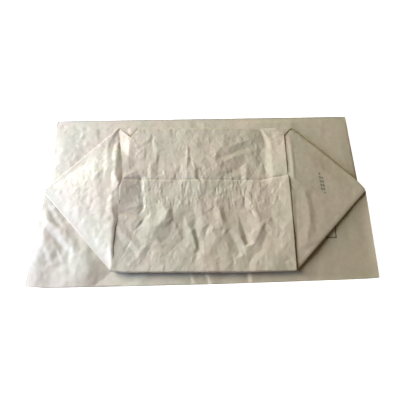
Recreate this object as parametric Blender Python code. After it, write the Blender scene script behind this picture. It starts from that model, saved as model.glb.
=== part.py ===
"""Folded paper sack with a pasted hexagonal block bottom, lying bottom side up.

One flat tube of kraft paper is folded zigzag into a packet of four panels. The closed
end lies on top as a flat hexagonal pouch: a pocket at each side and two flaps pasted
one over the other across the middle. The mouth is open and lies inside the packet.
Units are metres, +Z up, +Y away from the near edge. The values place the bottom's tip
line on Y = 0. At the end the sack is moved so that its middle is over the origin.
"""
import math

import bmesh
import bpy
from mathutils import Vector

for old in list(bpy.data.objects):
    bpy.data.objects.remove(old, do_unlink=True)

# paper and the flat tube
WALL = 0.0004
TUBE_THICKNESS = 0.0016
PANEL_PITCH = 0.0029
PANELS = 4
FOLD_STEPS = 6
TIP_OVERRUN = WALL / 2

# where each line across the tube runs: (x, y) at its left and right ends, seen from above
TIP_LINE = ((-0.2980, 0.0), (0.3015, 0.0))
NEAR_FOLD = ((-0.3026, -0.1765), (0.2960, -0.1600))
PACKET_MIDDLE = ((-0.2985, 0.0150), (0.2900, 0.0250))
FAR_FOLD = ((-0.3040, 0.1545), (0.2925, 0.1670))
INNER_FOLD = ((-0.2985, -0.1560), (0.2930, -0.1450))
MOUTH_LINE = ((-0.2980, 0.1180), (0.2900, 0.1220))

# hexagonal bottom: corners going round from the left tip
HEXAGON = (
    (-0.2985, -0.0070),
    (-0.1605, -0.1495),
    (0.1570, -0.1485),
    (0.3030, -0.0015),
    (0.3024, 0.0040),
    (0.2886, 0.0257),
    (0.1760, 0.1350),
    (-0.1750, 0.1350),
    (-0.2985, 0.0060),
)
HEXAGON_GAP = 0.0012
HEXAGON_THICKNESS = 0.0022

# pasted flaps
UPPER_FLAP = (
    (-0.1575, -0.0400),
    (0.1585, -0.0400),
    (0.1560, 0.1160),
    (0.1740, 0.1344),
    (-0.1330, 0.1344),
    (-0.1470, 0.1130),
)
LOWER_FLAP = (
    (-0.1595, -0.1489),
    (0.1560, -0.1479),
    (0.1590, -0.0600),
    (0.1570, 0.0250),
    (0.1080, 0.0195),
    (-0.1550, 0.0195),
    (-0.1575, -0.0420),
)
UPPER_FLAP_RISE = 0.0016
LOWER_FLAP_RISE = 0.0026
FLAP_ROOT = 0.0005

# side pockets swell towards the flaps: (x, y, rise) of the top of each
POCKET_ROOT = 0.0005
POCKET_SHRINK = 0.0015
LEFT_POCKET = (
    (-0.2900, 0.0000, 0.0002),
    (-0.1610, -0.1450, 0.0004),
    (-0.1740, 0.1310, 0.0004),
    (-0.1500, 0.1020, 0.0014),
    (-0.1580, 0.0450, 0.0038),
    (-0.1640, -0.0350, 0.0038),
    (-0.1590, -0.1000, 0.0018),
)
RIGHT_POCKET = (
    (0.2930, 0.0000, 0.0002),
    (0.1590, -0.1430, 0.0004),
    (0.1740, 0.1310, 0.0004),
    (0.1585, 0.1000, 0.0012),
    (0.1590, 0.0400, 0.0014),
    (0.1610, -0.0400, 0.0014),
)

# the space inside reaches past the tip line into the pouch, and out of the mouth
SPACE_TIP_OVERRUN = WALL * 4
SPACE_MOUTH_OVERRUN = WALL * 8
CUT_REACH = 0.4

KRAFT = (0.54, 0.48, 0.37, 1.0)
KRAFT_ROUGHNESS = 0.85

# heights that follow from the values above
TOP_PANEL_BASE = PANEL_PITCH * (PANELS - 1)
TOP_PANEL_TOP = TOP_PANEL_BASE + TUBE_THICKNESS
HEXAGON_BASE = TOP_PANEL_TOP + HEXAGON_GAP
HEXAGON_TOP = HEXAGON_BASE + HEXAGON_THICKNESS


def finish_solid(name, bm):
    """Put a closed bmesh into a new object, triangulated and facing outward."""
    bmesh.ops.triangulate(bm, faces=bm.faces[:], ngon_method="EAR_CLIP")
    bmesh.ops.recalc_face_normals(bm, faces=bm.faces[:])
    if bm.calc_volume(signed=True) < 0:
        bmesh.ops.reverse_faces(bm, faces=bm.faces[:])
    mesh = bpy.data.meshes.new(name)
    bm.to_mesh(mesh)
    bm.free()
    solid = bpy.data.objects.new(name, mesh)
    bpy.context.scene.collection.objects.link(solid)
    return solid


def plate(name, outline, low, high):
    """A flat plate with the given outline between two heights."""
    bm = bmesh.new()
    corners = [bm.verts.new((x, y, low)) for x, y in outline]
    face = bm.faces.new(corners)
    lifted = bmesh.ops.extrude_face_region(bm, geom=[face])
    top = [item for item in lifted["geom"] if isinstance(item, bmesh.types.BMVert)]
    bmesh.ops.translate(bm, verts=top, vec=(0, 0, high - low))
    return finish_solid(name, bm)


def inset_outline(outline, distance):
    """The outline moved inward by a distance, for an outline that runs counter-clockwise."""
    moved = []
    count = len(outline)
    for index in range(count):
        before = Vector(outline[index - 1])
        here = Vector(outline[index])
        after = Vector(outline[(index + 1) % count])
        first = (here - before).normalized()
        second = (after - here).normalized()
        first_normal = Vector((-first.y, first.x))
        second_normal = Vector((-second.y, second.x))
        bisector = (first_normal + second_normal).normalized()
        moved.append(here + bisector * (distance / bisector.dot(first_normal)))
    return [(point.x, point.y) for point in moved]


def near_half(far_edge):
    """Outline of a cutter that covers all of the near side up to a line across the sack."""
    return (
        (-CUT_REACH, -CUT_REACH),
        (CUT_REACH, -CUT_REACH),
        (CUT_REACH, far_edge),
        (-CUT_REACH, far_edge),
    )


def swelling(name, points, top, shrink):
    """A low mound: the hull of a flat base and the same points raised, drawn in by shrink."""
    bm = bmesh.new()
    centre_x = sum(point[0] for point in points) / len(points)
    centre_y = sum(point[1] for point in points) / len(points)
    for x, y, rise in points:
        inward = Vector((centre_x - x, centre_y - y)).normalized() * shrink
        bm.verts.new((x + inward.x, y + inward.y, top - POCKET_ROOT))
        bm.verts.new((x + inward.x, y + inward.y, top + rise))
    hull = bmesh.ops.convex_hull(bm, input=bm.verts[:])
    spare = hull["geom_interior"] + hull["geom_unused"]
    spare = [item for item in spare if isinstance(item, bmesh.types.BMVert)]
    bmesh.ops.delete(bm, geom=list(set(spare)), context="VERTS")
    return finish_solid(name, bm)


def fold_points(line, panel, half, towards_near, outer):
    """Ring stations round the fold that joins a panel to the one below it."""
    upper_middle = PANEL_PITCH * (PANELS - 1 - panel) + TUBE_THICKNESS / 2
    centre_z = upper_middle - PANEL_PITCH / 2
    radius = PANEL_PITCH / 2 + (half if outer else -half)
    reach = (PANEL_PITCH + TUBE_THICKNESS) / 2
    direction = -1 if towards_near else 1
    stations = []
    for step in range(FOLD_STEPS + 1):
        angle = math.pi * step / FOLD_STEPS
        shift = direction * (radius * math.sin(angle) - reach)
        stations.append((line, shift, centre_z + radius * math.cos(angle)))
    return stations


def panel_height(panel, half, top_side):
    """Height of one side of a panel, counted from the top of the stack."""
    middle = PANEL_PITCH * (PANELS - 1 - panel) + TUBE_THICKNESS / 2
    return middle + (half if top_side else -half)


def tube(name, inset, tip_overrun, mouth_overrun):
    """The folded tube as a solid ribbon. An inset shrinks it to the space inside the walls."""
    half = TUBE_THICKNESS / 2 - inset
    stations = [(TIP_LINE, tip_overrun, panel_height(0, half, True))]
    stations += fold_points(NEAR_FOLD, 0, half, True, True)
    stations += [(PACKET_MIDDLE, 0, panel_height(1, half, False))]
    stations += fold_points(FAR_FOLD, 1, half, False, False)
    stations += fold_points(INNER_FOLD, 2, half, True, True)
    stations += [(MOUTH_LINE, mouth_overrun, panel_height(3, half, False))]
    stations += [(MOUTH_LINE, mouth_overrun, panel_height(3, half, True))]
    stations += reversed(fold_points(INNER_FOLD, 2, half, True, False))
    stations += reversed(fold_points(FAR_FOLD, 1, half, False, True))
    stations += [(PACKET_MIDDLE, 0, panel_height(1, half, True))]
    stations += reversed(fold_points(NEAR_FOLD, 0, half, True, False))
    stations += [(TIP_LINE, tip_overrun, panel_height(0, half, False))]
    bm = bmesh.new()
    left = []
    right = []
    for line, shift, z in stations:
        (left_x, left_y), (right_x, right_y) = line
        left.append(bm.verts.new((left_x + inset, left_y + shift, z)))
        right.append(bm.verts.new((right_x - inset, right_y + shift, z)))
    count = len(stations)
    for index in range(count):
        following = (index + 1) % count
        bm.faces.new((left[index], left[following], right[following], right[index]))
    for index in range(count // 2 - 1):
        opposite = count - 1 - index
        bm.faces.new((left[index], left[opposite], left[opposite - 1], left[index + 1]))
        bm.faces.new((right[index], right[index + 1], right[opposite - 1], right[opposite]))
    return finish_solid(name, bm)


def combine(target, tools, operation):
    """Join tool solids to the target, or cut them from it, then discard them."""
    for tool in tools:
        modifier = target.modifiers.new(operation.lower(), "BOOLEAN")
        modifier.operation = operation
        modifier.solver = "EXACT"
        modifier.object = tool
        graph = bpy.context.evaluated_depsgraph_get()
        result = bpy.data.meshes.new_from_object(target.evaluated_get(graph))
        target.modifiers.clear()
        target.data = result
        bpy.data.objects.remove(tool, do_unlink=True)
    return target


# the paper's outside: tube, hexagonal pouch, pockets and flaps
sack = tube("paper_sack", 0.0, TIP_OVERRUN, 0.0)
pouch = plate("pouch", HEXAGON, TOP_PANEL_BASE, HEXAGON_TOP)
under_pouch = near_half(-WALL)
combine(pouch, [plate("under pouch", under_pouch, TOP_PANEL_BASE - WALL, HEXAGON_BASE)], "DIFFERENCE")
left_pocket = swelling("left pocket", LEFT_POCKET, HEXAGON_TOP, 0.0)
right_pocket = swelling("right pocket", RIGHT_POCKET, HEXAGON_TOP, 0.0)
flap_base = HEXAGON_TOP - FLAP_ROOT
upper_flap = plate("upper flap", UPPER_FLAP, flap_base, HEXAGON_TOP + UPPER_FLAP_RISE)
lower_flap = plate("lower flap", LOWER_FLAP, flap_base, HEXAGON_TOP + LOWER_FLAP_RISE)
combine(sack, [pouch, left_pocket, right_pocket, upper_flap, lower_flap], "UNION")

# the empty space inside: it runs from the open mouth through the tube into the pouch
inside_hexagon = inset_outline(HEXAGON, WALL)
pouch_space = plate("pouch space", inside_hexagon, TOP_PANEL_BASE + WALL, HEXAGON_TOP - WALL)
under_space = near_half(0.0)
step_height = HEXAGON_BASE + WALL
combine(pouch_space, [plate("under space", under_space, TOP_PANEL_BASE, step_height)], "DIFFERENCE")
ceiling = HEXAGON_TOP - WALL
spaces = [
    pouch_space,
    swelling("left space", LEFT_POCKET, ceiling, POCKET_SHRINK),
    swelling("right space", RIGHT_POCKET, ceiling, POCKET_SHRINK),
    plate("upper space", inset_outline(UPPER_FLAP, WALL), ceiling - FLAP_ROOT, ceiling + UPPER_FLAP_RISE),
    plate("lower space", inset_outline(LOWER_FLAP, WALL), ceiling - FLAP_ROOT, ceiling + LOWER_FLAP_RISE),
]
tube_space = tube("tube space", WALL, SPACE_TIP_OVERRUN, SPACE_MOUTH_OVERRUN)
combine(tube_space, spaces, "UNION")
combine(sack, [tube_space], "DIFFERENCE")

# the origin is under the middle of the packet, on the floor
xs = [vertex.co.x for vertex in sack.data.vertices]
ys = [vertex.co.y for vertex in sack.data.vertices]
middle = Vector(((min(xs) + max(xs)) / 2, (min(ys) + max(ys)) / 2, 0.0))
for vertex in sack.data.vertices:
    vertex.co -= middle

# one material for the one sheet of paper
kraft = bpy.data.materials.new("kraft_paper")
kraft.use_nodes = True
shader = kraft.node_tree.nodes["Principled BSDF"]
shader.inputs["Base Color"].default_value = KRAFT
shader.inputs["Roughness"].default_value = KRAFT_ROUGHNESS
sack.data.materials.clear()
sack.data.materials.append(kraft)
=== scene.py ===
import math
from types import SimpleNamespace

import bmesh
import bpy
import numpy as np
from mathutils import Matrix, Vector
from mathutils.geometry import delaunay_2d_cdt


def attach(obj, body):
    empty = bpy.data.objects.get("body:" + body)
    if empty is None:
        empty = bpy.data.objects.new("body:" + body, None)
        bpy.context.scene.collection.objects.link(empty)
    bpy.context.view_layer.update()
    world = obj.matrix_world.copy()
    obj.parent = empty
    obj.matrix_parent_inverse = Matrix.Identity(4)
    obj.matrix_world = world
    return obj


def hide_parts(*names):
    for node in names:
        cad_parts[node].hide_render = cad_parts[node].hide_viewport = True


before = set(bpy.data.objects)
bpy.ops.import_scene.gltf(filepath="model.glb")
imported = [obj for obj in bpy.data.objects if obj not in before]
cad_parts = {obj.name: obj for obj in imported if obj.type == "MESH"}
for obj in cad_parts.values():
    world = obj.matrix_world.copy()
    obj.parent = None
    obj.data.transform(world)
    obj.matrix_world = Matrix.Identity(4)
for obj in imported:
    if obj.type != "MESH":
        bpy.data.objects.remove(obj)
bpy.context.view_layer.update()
scene = bpy.context.scene

# Folded paper sack, bottom side up. Lengths are millimetres seen from above, with the
# tip line of the pasted bottom on y = 0, and heights are above the floor.
tipLine = {"x": 0.5, "y": 4.75}  # where that line's middle lies in the part's frame


def addObject(name, data):
    added = bpy.data.objects.new(name, data)
    scene.collection.objects.link(added)
    return added


cameraView = {
    "place": (-7.6, -218.15, 548.8),  # part's frame, mm
    "pitch": 69.38, "turn": 0.16,  # degrees below level, and to the left
    "lens": 28.0, "sensor": 36.0,
    "clip": 0.02,  # m
}
camData = bpy.data.cameras.new("photoCamera")
camData.lens = cameraView["lens"]
camData.sensor_width = cameraView["sensor"]
camData.clip_start = cameraView["clip"]
camera = addObject("photoCamera", camData)
camera.location = [v * 0.001 for v in cameraView["place"]]
camera.rotation_euler = (math.radians(90 - cameraView["pitch"]), 0, math.radians(cameraView["turn"]))
scene.camera = camera
scene.view_settings.view_transform = "Standard"
print("camera set")


# A relief is a height map in millimetres that folds and creases are pressed into
def newRelief(xLow, xHigh, yLow, yHigh, pitch):
    xs = np.arange(xLow, xHigh + pitch, pitch)
    ys = np.arange(yLow, yHigh + pitch, pitch)
    gridX, gridY = np.meshgrid(xs, ys)
    return SimpleNamespace(xs=xs, ys=ys, x=gridX, y=gridY, pitch=pitch, z=np.zeros(gridX.shape))


# a table's value between its cells
def between(table, r, c, fr, fc):
    low = table[r, c] * (1 - fc) + table[r, c + 1] * fc
    high = table[r + 1, c] * (1 - fc) + table[r + 1, c + 1] * fc
    return low * (1 - fr) + high * fr


def readField(relief, name, x, y):
    field = getattr(relief, name)
    column = np.clip((x - relief.xs[0]) / relief.pitch, 0, len(relief.xs) - 1.001)
    row = np.clip((y - relief.ys[0]) / relief.pitch, 0, len(relief.ys) - 1.001)
    c, r = column.astype(int), row.astype(int)
    return between(field, r, c, row - r, column - c)


def window(relief, xLow, xHigh, yLow, yHigh):
    c0, c1 = np.searchsorted(relief.xs, (xLow, xHigh))
    r0, r1 = np.searchsorted(relief.ys, (yLow, yHigh))
    return slice(max(r0 - 1, 0), r1 + 1), slice(max(c0 - 1, 0), c1 + 1)


def smoothStep(low, high, value):
    t = np.clip((value - low) / (high - low), 0, 1)  # also falls, where low is the greater
    return t * t * (3 - 2 * t)


# values of a table at each x or y; the table is its places and its values there
def valueAt(table, places):
    return np.interp(places, *table)


# rounds the folds' crests, each pass by about one cell of the relief
def soften(field, passes):
    for _ in range(passes):
        wide = np.pad(field, 1, mode="edge")
        field = (wide[:-2, 1:-1] + wide[2:, 1:-1] + wide[1:-1, :-2] + wide[1:-1, 2:] + 4 * field) / 8
    return field


# smooth swells up to the given height and of about the given size
def softNoise(relief, height, size, seed):
    rng = np.random.default_rng(seed)
    u = (relief.x - relief.xs[0]) / size + 0.5
    v = (relief.y - relief.ys[0]) / size + 0.5
    table = rng.uniform(-1, 1, (int(v.max()) + 3, int(u.max()) + 3))
    i, j = u.astype(int), v.astype(int)
    return height * between(table, j, i, smoothStep(0, 1, v - j), smoothStep(0, 1, u - i))


# a ridge between two points, or a valley where height is below 0; sharp on its crest
def addCrease(relief, start, end, height, width, lean=0.0, bow=0.0):
    (x0, y0), (x1, y1) = start, end
    reach = 4.0 * width + abs(bow)
    cut = window(relief, min(x0, x1) - reach, max(x0, x1) + reach, min(y0, y1) - reach, max(y0, y1) + reach)
    x, y = relief.x[cut], relief.y[cut]
    length = math.hypot(x1 - x0, y1 - y0)
    ux, uy = (x1 - x0) / length, (y1 - y0) / length
    along = np.clip(((x - x0) * ux + (y - y0) * uy) / length, 0, 1)
    across = (y - y0) * ux - (x - x0) * uy - bow * np.sin(np.pi * along)
    side = np.where(across > 0, width * (1 + lean), width * (1 - lean))
    relief.z[cut] += height * np.exp(-np.abs(across) / side) * np.sin(np.pi * along) ** 0.7


# many short creases in a box, headed about one way (degrees from the x axis)
def addCrumples(relief, box, count, lengths, heights, width, heading, spread, seed):
    rng = np.random.default_rng(seed)
    for _ in range(count):
        x, y = rng.uniform(box[0], box[2]), rng.uniform(box[1], box[3])
        angle = math.radians(heading + rng.normal(0, spread))
        half = rng.uniform(*lengths) / 2
        dx, dy = half * math.cos(angle), half * math.sin(angle)
        height = rng.uniform(*heights) * rng.choice((-1, 1))
        size = width * rng.uniform(0.6, 1.5)
        lean, bow = rng.uniform(-0.5, 0.5), rng.normal(0, 0.08) * half
        addCrease(relief, (x - dx, y - dy), (x + dx, y + dy), height, size, lean, bow)


# A net of flat facets that meet in sharp folds, as in paper that was crumpled and pressed
# flat again. Its nodes are the given folds' points and loose ones between.
def foldNet(relief, folds, spacing, rough, seed, lift=1.0, stretch=1.0):
    rng = np.random.default_rng(seed)
    shift = 0.45  # of a loose node from its place on a grid, as a share of the spacing
    points, edges, taken = [], [], []
    for fold in folds:
        for index, (x, y, height) in enumerate(fold):
            if index:
                edges.append((len(points) - 1, len(points)))
                px, py = points[-1][:2]
                steps = max(2, int(math.hypot(x - px, y - py) / 3))
                taken += [(px + (x - px) * s / steps, py + (y - py) * s / steps) for s in range(steps)]
            points.append((x, y, height / 10 * lift))
            taken.append((x, y))
    taken = np.array(taken or [(1e6, 1e6)])
    for x in np.arange(relief.xs[0] - spacing, relief.xs[-1] + 2 * spacing, spacing):
        for y in np.arange(relief.ys[0] - spacing, relief.ys[-1] + 2 * spacing, spacing * stretch):
            px = x + rng.uniform(-shift, shift) * spacing
            py = y + rng.uniform(-shift, shift) * spacing * stretch
            height = rng.normal(0, rough)
            if np.hypot(taken[:, 0] - px, taken[:, 1] - py).min() > 0.5 * spacing:
                points.append((px, py, height))
    flat = [Vector(point[:2]) for point in points]
    nodes, _, facets, sources, _, _ = delaunay_2d_cdt(flat, edges, [], 0, 1e-3)
    heights = [points[source[0]][2] if source else 0.0 for source in sources]
    net = np.zeros(relief.z.shape)
    for corners in facets:
        (ax, ay), (bx, by), (cx, cy) = (nodes[corner] for corner in corners)
        az, bz, cz = (heights[corner] for corner in corners)
        area = (bx - ax) * (cy - ay) - (cx - ax) * (by - ay)
        cut = window(relief, min(ax, bx, cx), max(ax, bx, cx), min(ay, by, cy), max(ay, by, cy))
        x, y = relief.x[cut], relief.y[cut]
        if abs(area) < 1e-6 or not x.size:
            continue
        wb = ((x - ax) * (cy - ay) - (cx - ax) * (y - ay)) / area
        wc = ((bx - ax) * (y - ay) - (x - ax) * (by - ay)) / area
        wa = 1 - wb - wc
        inside = (wa >= -1e-9) & (wb >= -1e-9) & (wc >= -1e-9)
        net[cut] = np.where(inside, wa * az + wb * bz + wc * cz, net[cut])
    return net


# ridges get rubbed wear above 0 and valleys painted shade below 0, in full at the given height
wearLook = {"near": 3, "far": 24, "full": 0.35}  # passes of softening, and the height of full wear


# how worn or shaded a spot is: above 0 on ridges, where the paper is rubbed pale, and below 0 in valleys,
# where shade is painted in darker and browner
def creaseWearAndShade(field):
    near, far = soften(field, wearLook["near"]), soften(field, wearLook["far"])
    return np.clip((near - far) / wearLook["full"], -1, 1)


def newGrid(columns, rows, size):
    bm = bmesh.new()
    bmesh.ops.create_grid(bm, x_segments=columns, y_segments=rows, size=size)
    return bm


# a mesh from bmesh's data, and its vertices' places
def takeMesh(bm, name):
    mesh = bpy.data.meshes.new(name)
    bm.to_mesh(mesh)
    bm.free()
    flat = np.empty(len(mesh.vertices) * 3)
    mesh.vertices.foreach_get("co", flat)
    return mesh, flat.reshape(-1, 3)


# a grid with each vertex's place on it as u and v from 0 to 1
def gridMesh(name, columns, rows):
    mesh, places = takeMesh(newGrid(columns, rows, 0.5), name)
    return mesh, places[:, 0] + 0.5, places[:, 1] + 0.5


# changes a mesh by a function that takes bmesh's data
def editMesh(mesh, edit):
    bm = bmesh.new()
    bm.from_mesh(mesh)
    edit(bm)
    bm.to_mesh(mesh)
    bm.free()


# joins the vertices that lie in one place and turns all faces outward
def closeUp(bm):
    bmesh.ops.remove_doubles(bm, verts=bm.verts[:], dist=1e-6)
    bmesh.ops.recalc_face_normals(bm, faces=bm.faces[:])


def placeVertices(mesh, x, y, z, wear):
    places = np.stack([x + tipLine["x"], y + tipLine["y"], z], axis=1) * 0.001
    mesh.vertices.foreach_set("co", places.ravel())
    mesh.attributes.new("wear", "FLOAT", "POINT").data.foreach_set("value", wear.astype(np.float32))
    mesh.update()
    return mesh


def addPiece(name, mesh, material):
    piece = addObject(name, mesh)
    mesh.materials.append(material)
    mesh.shade_smooth()
    mesh.set_sharp_from_angle(angle=math.radians(40))
    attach(piece, "root")
    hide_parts("paper_sack")


def toLinear(hexColour):
    parts = [int(hexColour[i:i + 2], 16) / 255 for i in (1, 3, 5)]
    return [p / 12.92 if p <= 0.04045 else ((p + 0.055) / 1.055) ** 2.4 for p in parts] + [1.0]


def addNode(tree, kind, settings=None, links=None):
    node = tree.nodes.new("ShaderNode" + kind)
    for key, value in (settings or {}).items():
        if isinstance(key, int) or key in node.inputs:
            node.inputs[key].default_value = value
        else:
            setattr(node, key, value)
    for key, source in (links or {}).items():  # from a socket, or from a node's first one
        socket = source.outputs[0] if isinstance(source, bpy.types.Node) else source
        tree.links.new(socket, node.inputs[key])
    return node


# a material of one shader, with its tree and the shader
def newMaterial(name, settings):
    material = bpy.data.materials.new(name)
    material.use_nodes = True
    tree = material.node_tree
    tree.nodes.clear()
    shader = addNode(tree, "BsdfPrincipled", settings)
    addNode(tree, "OutputMaterial", None, {0: shader})
    return material, tree, shader


# Machine-smooth sack kraft, half bleached: matt and a little mottled by the pulp, with fine
# fibres along the web, clouds of a pinker and a greener tan, pale rubbed folds, and painted shade in the
# valleys
kraft = {
    "base": "#beb39a",
    "noises": {"cloud": (70.0, 2.0), "mottle": (9.0, 5.0)},  # mm, detail
    "fibreLength": 5.0, "fibreWidth": 1.0,
    "tints": (  # colour, the texture that it follows, from and to which value, greatest share
        ("#c4b29b", "cloud", 0.4, 0.6, 1.0),
        ("#a6987e", "mottle", 0.35, 0.7, 0.3),
        ("#a39477", "fibre", 0.52, 0.75, 0.35),
        ("#d3cab8", "wear", 0.1, 1.0, 0.45),
        # painted shade: darker and browner in the creases' valleys and in the strip under the near crease,
        # where the attribute is below 0
        ("#a6987e", "wear", -0.1, -1.0, 0.5),
    ),
    "surface": {"Roughness": 0.5, "IOR": 1.5},
    "grain": {"Strength": 0.3, "Distance": 0.0003},
}
inkMarks = {
    "ink": "#2b2826",
    "rubbedInk": {"From Min": 0.7, "From Max": 0.4, "To Min": 0.5, "To Max": 0.95},
    "bars": {
        "place": (215.5, 35.0), "turn": -88.8, "pitch": 2.0, "halfBar": 0.33, "above": 11.0,
        "group": 4.0,  # bars in a group, with the last one left out
        "rows": (((20.5, 20.5), (1.8, 1.8)), ((26.5, 17.0), (6.2, 1.8))),  # (middle, half) each way
    },
    "box": {"place": (219.5, -76.5), "turn": -1.5, "half": 14.6, "line": 1.9, "above": 8.6},
}


# place on the paper in millimetres, measured from a mark's own corner and along its own axes
def markAxes(tree, where, mark):
    corner = [(mark["place"][0] + tipLine["x"]) * 0.001, (mark["place"][1] + tipLine["y"]) * 0.001, 0]
    turned = addNode(tree, "Mapping", {
        "vector_type": "TEXTURE", "Location": corner, "Scale": (0.001, 0.001, 0.001),
        "Rotation": (0, 0, math.radians(mark["turn"]))}, {"Vector": where})
    axes = addNode(tree, "SeparateXYZ", None, {0: turned}).outputs
    onTop = addNode(tree, "Math", {"operation": "GREATER_THAN", 1: mark["above"]}, {0: axes[2]})
    return axes[0], axes[1], onTop


# two rows of small plain ink bars, three and a gap in turn
def barMask(tree, where):
    mark = inkMarks["bars"]
    along, across, onTop = markAxes(tree, where, mark)
    steps = addNode(tree, "Math", {"operation": "DIVIDE", 1: mark["pitch"]}, {0: along})
    part = addNode(tree, "Math", {"operation": "FRACT"}, {0: steps})
    bar = addNode(tree, "Math", {"operation": "COMPARE", 1: mark["halfBar"], 2: mark["halfBar"]},
                  {0: part})
    turn = addNode(tree, "Math", {"operation": "MODULO", 1: mark["group"]}, {0: steps})
    kept = addNode(tree, "Math", {"operation": "LESS_THAN", 1: mark["group"] - 1}, {0: turn})
    rows = []
    for (middle, half), (high, wide) in mark["rows"]:
        ends = addNode(tree, "Math", {"operation": "COMPARE", 1: middle, 2: half}, {0: along})
        band = addNode(tree, "Math", {"operation": "COMPARE", 1: high, 2: wide}, {0: across})
        rows.append(addNode(tree, "Math", {"operation": "MULTIPLY"}, {0: ends, 1: band}))
    mask = addNode(tree, "Math", {"operation": "ADD"}, {0: rows[0], 1: rows[1]})
    for other in (bar, kept, onTop):
        mask = addNode(tree, "Math", {"operation": "MULTIPLY"}, {0: mask, 1: other})
    return mask


# the outline of a plain square
def boxMask(tree, where):
    mark = inkMarks["box"]
    along, across, onTop = markAxes(tree, where, mark)
    sides = [addNode(tree, "Math", {"operation": "ABSOLUTE"}, {0: axis})
             for axis in (along, across)]
    reach = addNode(tree, "Math", {"operation": "MAXIMUM"}, {0: sides[0], 1: sides[1]})
    half = mark["line"] / 2
    line = addNode(tree, "Math", {"operation": "COMPARE", 1: mark["half"] - half, 2: half},
                   {0: reach})
    return addNode(tree, "Math", {"operation": "MULTIPLY"}, {0: line, 1: onTop})


def kraftMaterial(name, inkMask=None):
    material, tree, shader = newMaterial(name, kraft["surface"])
    where = addNode(tree, "TexCoord").outputs["Object"]
    thin, long = 1000 / kraft["fibreWidth"], 1000 / kraft["fibreLength"]
    web = addNode(tree, "Mapping", {"Scale": (thin, long, thin)}, {"Vector": where})
    threads = addNode(tree, "TexNoise", {"Scale": 1.0, "Detail": 2.0, "Distortion": 0.6}, {"Vector": web})
    textures = {"fibre": threads, "wear": addNode(tree, "Attribute", {"attribute_name": "wear"})}
    for texture, (size, detail) in kraft["noises"].items():
        noise = {"Scale": 1000 / size, "Detail": detail}
        textures[texture] = addNode(tree, "TexNoise", noise, {"Vector": where})
    colour = None
    for tint, texture, low, high, most in kraft["tints"]:
        share = addNode(tree, "MapRange", {"From Min": low, "From Max": high, "To Max": most},
                        {"Value": textures[texture].outputs["Fac"]})
        links = {0: share, 6: colour} if colour else {0: share}
        colour = addNode(tree, "Mix", {
            "data_type": "RGBA", 6: toLinear(kraft["base"]), 7: toLinear(tint)}, links).outputs[2]
    if inkMask:
        worn = addNode(tree, "MapRange", inkMarks["rubbedInk"], {"Value": threads})
        ink = addNode(tree, "Math", {"operation": "MULTIPLY"}, {0: inkMask(tree, where), 1: worn})
        colour = addNode(tree, "Mix", {"data_type": "RGBA", 7: toLinear(inkMarks["ink"])},
                         {0: ink, 6: colour}).outputs[2]
    grain = addNode(tree, "Bump", kraft["grain"], {"Height": threads})
    tree.links.new(colour, shader.inputs["Base Color"])
    tree.links.new(grain.outputs[0], shader.inputs["Normal"])
    return material


kraftPaper = kraftMaterial("kraftPaper")
kraftPaperBars = kraftMaterial("kraftPaperBars", barMask)
kraftPaperBox = kraftMaterial("kraftPaperBox", boxMask)
print("paper ready")

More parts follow.
